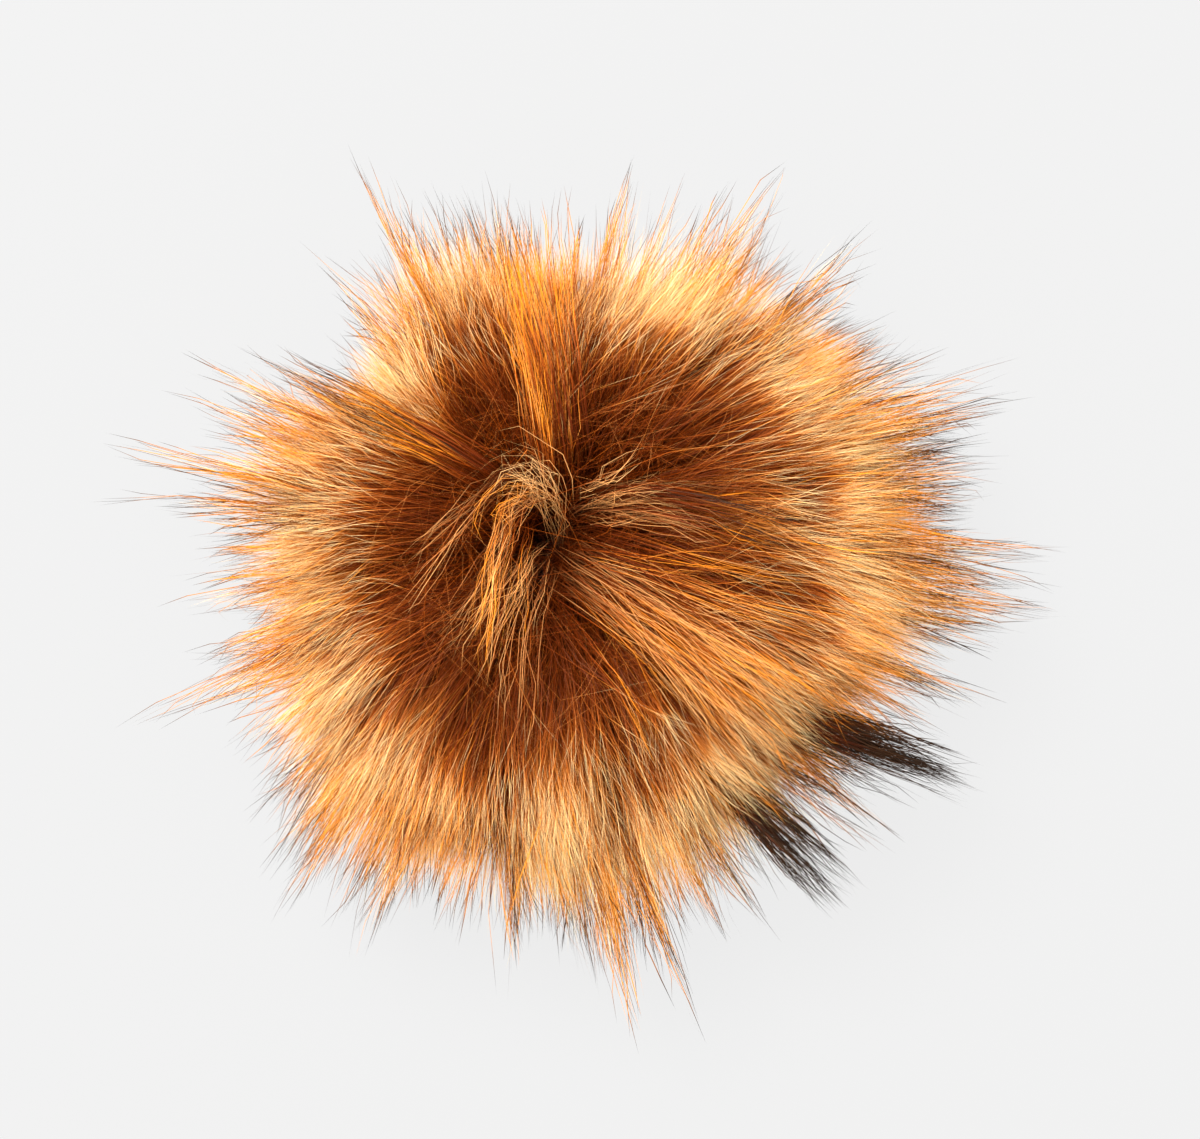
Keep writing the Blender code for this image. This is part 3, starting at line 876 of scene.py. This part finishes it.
def point_kind(hairs):
    """Kind of point of the rim lock that each hair belongs to."""
    return RIM_LOCKS["tip"][rim_lock_at(from_whorl(hairs.roots)[1])]


def rim_shades(hairs):
    """How strongly the point of its rim lock draws each hair to each dye: the longer, the more."""
    strengths = POINT_STRENGTHS[point_kind(hairs)]
    strengths[:, AMBER:] *= smooth_step(hairs.extent, 0.1, 0.5)[:, None]
    strengths[:, TIPPED] *= smooth_step(from_whorl(hairs.roots)[0], 28.0, 55.0)
    return strengths


def under_rim(roots):
    """0 for hairs that show from above, rising to 1 for those under the rim."""
    return smooth_step(from_whorl(roots)[0], 68.0, 108.0)


def long_pile(pile, guides, random):
    """Hairs of the long pile, their points, and how far out in the pile their colours come from."""
    hairs = Hairs(guides, spread_directions(pile.pile_hairs, random, 0.6), random)
    count = hairs.count
    hairs.extent = 0.95 * random.random(count) ** 4.4
    hairs.length = 1.0 - 0.3 * random.random(count) ** 1.7
    angle, azimuth = from_whorl(hairs.roots)
    streaks = guides.streaks(azimuth)
    loose = random.random(count) < 0.08
    hairs.clumping = np.where(loose, 0.1, random.uniform(0.4, 0.95, count))
    hairs.lean = np.where(loose, 0.03 + 0.08 * smooth_step(angle, 25.0, 60.0), 0.024)
    hairs.crimp = random.uniform(0.06, 0.25, count)
    points = hairs.paths(PILE_STOPS)
    shift = 0.05 * (0.5 - guides.noise[hairs.clump]) + 0.055 * streaks + random.normal(0.0, 0.02, count)
    from_axis = np.linalg.norm(points[..., :2], axis=-1) + INNER_RAGGED * streaks[:, None]
    deeper = INNER_DEEPER * (1.0 - smooth_step(from_axis, *INNER_PILE))
    levels = hairs.reach + (shift[:, None] - deeper) * smooth_step(hairs.reach, 0.3, 0.7)
    full = smooth_step(hairs.length, 0.84, 0.97)[:, None]
    to_tip = (1.0 - levels[:, -1:]) * full * smooth_step(PILE_STOPS, 0.72, 1.0)[None, :]
    return hairs, points, levels + to_tip


def dye_hairs(hairs, points, random):
    """Shade of each hair, and its tone between the plainest and the strongest of that dye.

    A shade's weight is a plain share, plus the areas of the photograph near the hair's
    upper part, plus what its rim lock's point draws it to, plus more amber underneath,
    which is partly the rim's orange tips and partly painted shade: the deeper colour of the shaded hairs
    under the rim.
    Cream hairs turn pale lower down in the pale streaks.
    """
    noise = hairs.guides.noise[hairs.clump]
    weights = np.stack([1.4 * (1.0 - 0.5 * noise), 0.2 * noise ** 2, 0.015 * noise], axis=-1)
    weights = weights + area_shades(points[:, -2]) + rim_shades(hairs)
    # more amber under the rim, partly painted shade for the shaded hairs there
    weights[:, AMBER] += UNDERSIDE_AMBER_AND_SHADE * under_rim(hairs.roots)
    bands = np.cumsum(weights, axis=1) / weights.sum(axis=1, keepdims=True)
    shade = (random.random(hairs.count)[:, None] > bands).sum(axis=1)
    streak = inside_any(points[:, 3], PALE_STREAKS)
    cream = 0.2 * noise + 0.5 * random.random(hairs.count) + 0.75 - 0.8 * streak
    other = 0.4 * noise + 0.6 * random.random(hairs.count) + 0.3 * (point_kind(hairs) == BLACK_TIP)
    return shade, np.clip(np.where(shade == CREAM, cream, other), 0.0, 1.0)


class POMPOM_OT_pile(bpy.types.Operator):
    """The long pile in its three dyes: cream, amber and dark-tipped"""

    bl_idname = "pompom.pile"
    bl_label = "Long pile"

    def execute(self, context):
        pile = context.scene.pompom_pile
        random = random_for(pile, PILE_SEED)
        hairs, points, levels = long_pile(pile, Guides(pile), random)
        shade, tone = dye_hairs(hairs, points, random)
        hollow = np.max([inside_any(points[:, stop], HOLLOWS) for stop in (1, 2, 3)], axis=0)
        bare = np.maximum(hollow, inside_any(points[:, -1], CLEARINGS))
        stays = random.random(hairs.count) > 0.9 * bare
        width = pile.hair_width / MM
        cream_widths = hair_widths(hairs.count, width, PILE_STOPS, random, 0.1)
        other_widths = hair_widths(hairs.count, width * DYED_WIDTH, PILE_STOPS, random, 0.1, 0.6)
        widths = np.where((shade == CREAM)[:, None], cream_widths, other_widths)
        for number, (name, tables, glow_share) in enumerate(PILE_DYES):
            material = hair_material(name + "_pile", context.scene.pompom_dye, tables, glow_share)
            chosen = np.flatnonzero(stays & (shade == number))
            for part, members in enumerate(np.array_split(chosen, math.ceil(len(chosen) / PIECE_HAIRS))):
                piece = "%s_pile_%d" % (name, part + 1)
                mesh = strands_mesh(piece, points[members], widths[members], tone[members],
                                    levels[members], random)
                add_piece(piece, mesh, material)
        return {"FINISHED"}


class POMPOM_OT_tufts(bpy.types.Operator):
    """Tufts that stand out of the pile, followed one by one in the photograph"""

    bl_idname = "pompom.tufts"
    bl_label = "Tufts"

    def execute(self, context):
        pile = context.scene.pompom_pile
        random = random_for(pile, TUFT_SEED)
        for number, (name, tables, glow_share) in enumerate(PILE_DYES):
            rows = TUFTS[TUFTS["shade"] == number]
            points = np.concatenate([tuft_paths(row, random) for row in rows])
            tone = np.repeat(rows["tone"], rows["hairs"])
            tone = np.clip(tone + random.normal(0.0, 0.3, len(tone)) * (tone < 0.96), 0.0, 1.0)
            width = pile.hair_width / MM * TUFT_WIDTHS[number]
            widths = hair_widths(len(points), width, TUFT_STOPS, random, 0.08, 0.7)
            ahead = np.repeat(rows["ahead"], rows["hairs"])[:, None]
            ahead = ahead + random.normal(0.02, 0.05, (len(points), 1))
            levels = TUFT_STOPS + ahead * smooth_step(TUFT_STOPS, 0.1, 0.5)
            piece = name + "_tufts"
            mesh = strands_mesh(piece, points, widths, tone, levels, random)
            if number == CREAM:
                tables = CREST_DYES
            add_piece(piece, mesh, hair_material(piece, context.scene.pompom_dye, tables, glow_share))
        return {"FINISHED"}


def tuft_paths(row, random):
    """Hairs of one tuft: a cubic through four places, with wisps spread about it.

    The four places are the root on the ball, the start, the middle and the tip, met at
    their shares of the chord's length. A wisp has its own place across the tuft and
    stops where it likes, and its hairs draw together towards its end.
    """
    start, middle, tip = (from_photo(row[part + "_x"], row[part + "_y"], row[part + "_z"])
                          for part in TUFT_PARTS)
    centre = np.array([0.0, 0.0, BALL_HEIGHT])
    places = np.stack([centre + unit(start - centre) * BALL_RADIUS, start, middle, tip])
    count, width = row["hairs"], row["width"]
    own_width = width * (1.0 + row["frizz"])
    wisps = max(3, count // HAIRS_PER_WISP)
    wisp = random.integers(0, wisps, count)
    wisp_length = 1.0 - 0.32 * random.random(wisps) ** 1.5
    length = wisp_length[wisp] * (1.0 - 0.18 * random.random(count) ** 1.5)
    share = TUFT_STOPS[None, :]
    along = share * length[:, None]
    axis = cubic_through(places, along)
    run = unit(np.gradient(axis, axis=1))
    side = unit(np.cross(run, np.array([0.0, 0.0, 1.0])))
    up = np.cross(side, run)
    wisp_place = random.normal(0.0, 0.5, (wisps, 2)) * width * TUFT_FLATNESS
    wisp_swing = random.normal(0.0, 0.4, (wisps, 2)) * width * TUFT_FLATNESS
    own_place = random.normal(0.0, 0.1, (count, 2)) * own_width
    own_swing = random.normal(0.0, 0.18, (count, 2)) * own_width * TUFT_FLATNESS
    drawn = np.interp(along, [0.0, 0.3, 0.65, 1.0], [0.5, 0.7, 1.0, row["fan"]])[..., None]
    close = np.interp(share, [0.0, 0.4, 1.0], [1.6, 1.1, 0.5])[..., None]
    swing = (share ** 2)[..., None]
    offset = (wisp_place[wisp][:, None, :] * drawn + wisp_swing[wisp][:, None, :] * swing
              + own_place[:, None, :] * close + own_swing[:, None, :] * swing)
    points = axis + side * offset[..., :1] + up * offset[..., 1:]
    phase = random.uniform(0.0, FULL_TURN, (count, 2))
    sizes = random.normal(0.0, 1.0, (count, 2, 3)) * (0.12 + 0.8 * row["frizz"])
    points = points + waves(share * np.ones((count, 1)), phase, sizes, TUFT_CYCLES) * share[..., None]
    return above_floor(points + crinkle(points.shape, 0.12 + 0.3 * row["frizz"], TUFT_STOPS, random))


def cubic_through(places, along):
    """Points of the cubic that passes four places, at these shares of the length between them.

    Each place weighs in by a product that is 1 at its own share and 0 at the others'.
    """
    runs = np.linalg.norm(np.diff(places, axis=0), axis=1)
    knots = np.concatenate([[0.0], np.cumsum(runs) / runs.sum()])
    weights = np.ones((len(knots), *along.shape))
    for place, knot in enumerate(knots):
        for other in np.delete(knots, place):
            weights[place] *= (along - other) / (knot - other)
    return np.einsum("pns,pd->nsd", weights, places)


def choose(many, count, likelihood, random):
    """This many of the directions, each at most once, the likelier ones more often."""
    return many[random.choice(len(many), count, replace=False, p=likelihood / likelihood.sum())]


class POMPOM_OT_fuzz(bpy.types.Operator):
    """Fine crinkled hairs that stray across each other round the whorl"""

    bl_idname = "pompom.fuzz"
    bl_label = "Fuzz"

    def execute(self, context):
        pile = context.scene.pompom_pile
        random = random_for(pile, FUZZ_SEED)
        many = spread_directions(pile.fuzz_hairs * 6, random, 0.8)
        roots = choose(many, pile.fuzz_hairs, np.exp(-(from_whorl(many)[0] / 38.0) ** 2), random)
        hairs = Hairs(Guides(pile), roots, random)
        hairs.length = random.uniform(0.45, 0.95, hairs.count)
        hairs.clumping = random.uniform(0.0, 0.4, hairs.count)
        hairs.lean = 0.5 * random.random(hairs.count) ** 1.5
        hairs.crimp = random.uniform(0.3, 1.3, hairs.count)
        hairs.crinkle = random.uniform(0.06, 0.18, hairs.count)
        points = hairs.paths(GUARD_STOPS)
        points = points[random.random(hairs.count) > 0.7 * inside_any(points[:, 3], HOLLOWS)]
        widths = hair_widths(len(points), pile.hair_width / MM * FUZZ_WIDTH, GUARD_STOPS, random, 0.0)
        tone = random.random(len(points)) ** 0.8
        mesh = strands_mesh("fuzz", points, widths, tone, GUARD_STOPS, random)
        add_piece("fuzz", mesh, hair_material("fuzz", context.scene.pompom_dye, FUZZ_DYES, 0.2))
        return {"FINISHED"}


def guard_hairs(pile, random):
    """Guard hairs, which of them stand in wisps, and their points.

    Two in three stand in the wisps of the rim locks, more in a longer lock, and these
    keep their full length. The rest stand anywhere but at the whorl.
    """
    many = spread_directions(pile.guard_hairs * 8, random, 0.7)
    angle, azimuth = from_whorl(many)
    lock = RIM_LOCKS[rim_lock_at(azimuth)]
    in_wisp = np.exp(-((azimuth - lock["azimuth"]) / WISP_WIDTH) ** 2)
    in_wisp = in_wisp * (lock["reach"] - WISPLESS_REACH) ** 1.2
    at_rim = smooth_step(angle, 38.0, 62.0) * (1.0 - smooth_step(angle, 92.0, 112.0))
    wisps = choose(many, pile.guard_hairs * 2 // 3, in_wisp * at_rim, random)
    rest = choose(many, pile.guard_hairs - len(wisps), smooth_step(angle, 18.0, 40.0), random)
    hairs = Hairs(Guides(pile), np.concatenate([wisps, rest]), random)
    count = hairs.count
    wisp = np.arange(count) < len(wisps)
    hairs.extent = np.where(wisp, 0.35 + 0.75 * random.random(count) ** 1.6, random.random(count) ** 1.5)
    hairs.length = np.where(wisp, 1.0, random.uniform(0.82, 1.02, count)) / hairs.guides.length[hairs.clump]
    hairs.clumping = np.where(wisp, 0.15, random.uniform(0.2, 0.9, count))
    hairs.lean = np.where(wisp, 0.012, 0.04)
    hairs.crimp = np.where(wisp, 0.12, random.uniform(0.05, 0.3, count))
    return hairs, wisp, hairs.paths(GUARD_STOPS)


class POMPOM_OT_guard(bpy.types.Operator):
    """Long coarse guard hairs with dark tips, standing past the pile"""

    bl_idname = "pompom.guard"
    bl_label = "Guard hairs"

    def execute(self, context):
        pile = context.scene.pompom_pile
        random = random_for(pile, GUARD_SEED)
        hairs, wisp, points = guard_hairs(pile, random)
        tone = 0.8 * random.random(hairs.count) + POINT_DARKNESS[point_kind(hairs)] - 0.3 * ~wisp
        widths = hair_widths(hairs.count, pile.guard_width / MM, GUARD_STOPS, random, 0.15, 0.85)
        held_back = np.where(wisp, 0.0, 0.16 * random.random(hairs.count))
        levels = GUARD_STOPS - held_back[:, None] * smooth_step(GUARD_STOPS, 0.6, 1.0)
        mesh = strands_mesh("guard_hairs", points, widths, np.clip(tone, 0.0, 1.0), levels, random)
        material = hair_material("guard_hairs", context.scene.pompom_dye, GUARD_DYES, 0.35)
        add_piece("guard_hairs", mesh, material)
        return {"FINISHED"}


class POMPOM_OT_stage(bpy.types.Operator):
    """Pale floor, soft lights and the camera straight above"""

    bl_idname = "pompom.stage"
    bl_label = "Stage"

    def execute(self, context):
        stage = context.scene.pompom_stage
        add_floor(stage)
        add_lights(context, stage)
        add_camera(context, stage)
        return {"FINISHED"}


def add_floor(stage):
    """A plain round floor, nearly all lit from within, so that only the faintest shade falls on it."""
    turns = 64
    turn = np.arange(turns) / turns * FULL_TURN
    places = FLOOR_RADIUS * np.stack([np.cos(turn), np.sin(turn), np.zeros(turns)], axis=-1)
    mesh = bpy.data.meshes.new("floor")
    mesh.from_pydata(places.tolist(), [], [tuple(range(turns))])
    tree = Tree("floor")
    shader = tree.node("ShaderNodeBsdfPrincipled", {}, {
        "Base Color": (*[share * FLOOR_SHADED for share in stage.floor], 1.0), "Roughness": 0.9,
        "Specular IOR Level": 0.0, "Emission Color": (*stage.floor, 1.0),
        "Emission Strength": stage.floor_light})
    mesh.materials.append(tree.finish(shader))
    floor = bpy.data.objects.new("floor", mesh)
    bpy.context.scene.collection.objects.link(floor)


def add_lights(context, stage):
    """A bright even sky and one large softbox above, up and to the left of the picture."""
    world = bpy.data.worlds.new("studio")
    context.scene.world = world
    world.use_nodes = True
    tree = Tree("studio", world)
    place = tree.node("ShaderNodeTexCoord", {}, {}, output=0)
    height = tree.node("ShaderNodeSeparateXYZ", {}, {0: place}, output=2)
    rise = (height.math("ABSOLUTE") * 1.6).clamp()
    strength = rise * (stage.sky_light - stage.side_light) + stage.side_light
    background = tree.node("ShaderNodeBackground", {}, {"Color": (1.0, 1.0, 1.0, 1.0), "Strength": strength})
    tree.finish(background, "ShaderNodeOutputWorld")
    light = bpy.data.lights.new("softbox", "AREA")
    light.shape = "DISK"
    light.size = SOFTBOX_SIZE
    light.energy = stage.softbox_power
    softbox = bpy.data.objects.new("softbox", light)
    softbox.location = SOFTBOX_PLACE
    softbox.rotation_euler = (-SOFTBOX_PLACE).to_track_quat("-Z", "Y").to_euler()
    context.scene.collection.objects.link(softbox)


def add_camera(context, stage):
    """A camera straight above, framed so that the photograph's scale holds at the pile's height."""
    camera = bpy.data.cameras.new("camera")
    camera.sensor_fit = "HORIZONTAL"
    camera.sensor_width = SENSOR_WIDTH
    seen_width = PHOTO_WIDTH / PIXELS_PER_MM * MM
    camera.lens = SENSOR_WIDTH * (stage.camera_height - SHARP_HEIGHT * MM) / seen_width
    camera.clip_start = 0.01
    view = bpy.data.objects.new("camera", camera)
    centre = camera_place()
    view.location = (centre[0] * MM, centre[1] * MM, stage.camera_height)
    context.scene.collection.objects.link(view)
    context.scene.camera = view
    context.scene.view_settings.view_transform = "Standard"


class POMPOM_PT_panel(bpy.types.Panel):
    """Steps of the pom pom, in order"""

    bl_idname = "POMPOM_PT_panel"
    bl_label = "Pom pom"
    bl_space_type = "VIEW_3D"
    bl_region_type = "UI"
    bl_category = "Pom pom"

    def draw(self, context):
        for step in STEPS:
            self.layout.operator(step.bl_idname)
        for group in GROUPS:
            settings = getattr(context.scene, group)
            for name in settings.__annotations__:
                self.layout.prop(settings, name)


GROUPS = {"pompom_pile": PomPomPile, "pompom_dye": PomPomDye, "pompom_stage": PomPomStage}
STEPS = (POMPOM_OT_ground, POMPOM_OT_wool, POMPOM_OT_pile, POMPOM_OT_tufts, POMPOM_OT_fuzz, POMPOM_OT_guard,
         POMPOM_OT_stage)


def register():
    for group, kind in GROUPS.items():
        bpy.utils.register_class(kind)
        setattr(bpy.types.Scene, group, PointerProperty(type=kind))
    for kind in STEPS + (POMPOM_PT_panel,):
        bpy.utils.register_class(kind)


def unregister():
    for kind in STEPS + (POMPOM_PT_panel,):
        bpy.utils.unregister_class(kind)
    for group, kind in GROUPS.items():
        delattr(bpy.types.Scene, group)
        bpy.utils.unregister_class(kind)


def main():
    register()
    bpy.ops.pompom.ground()
    bpy.ops.pompom.wool()
    bpy.ops.pompom.pile()
    bpy.ops.pompom.tufts()
    bpy.ops.pompom.fuzz()
    bpy.ops.pompom.guard()
    bpy.ops.pompom.stage()


if __name__ == "__main__":
    main()
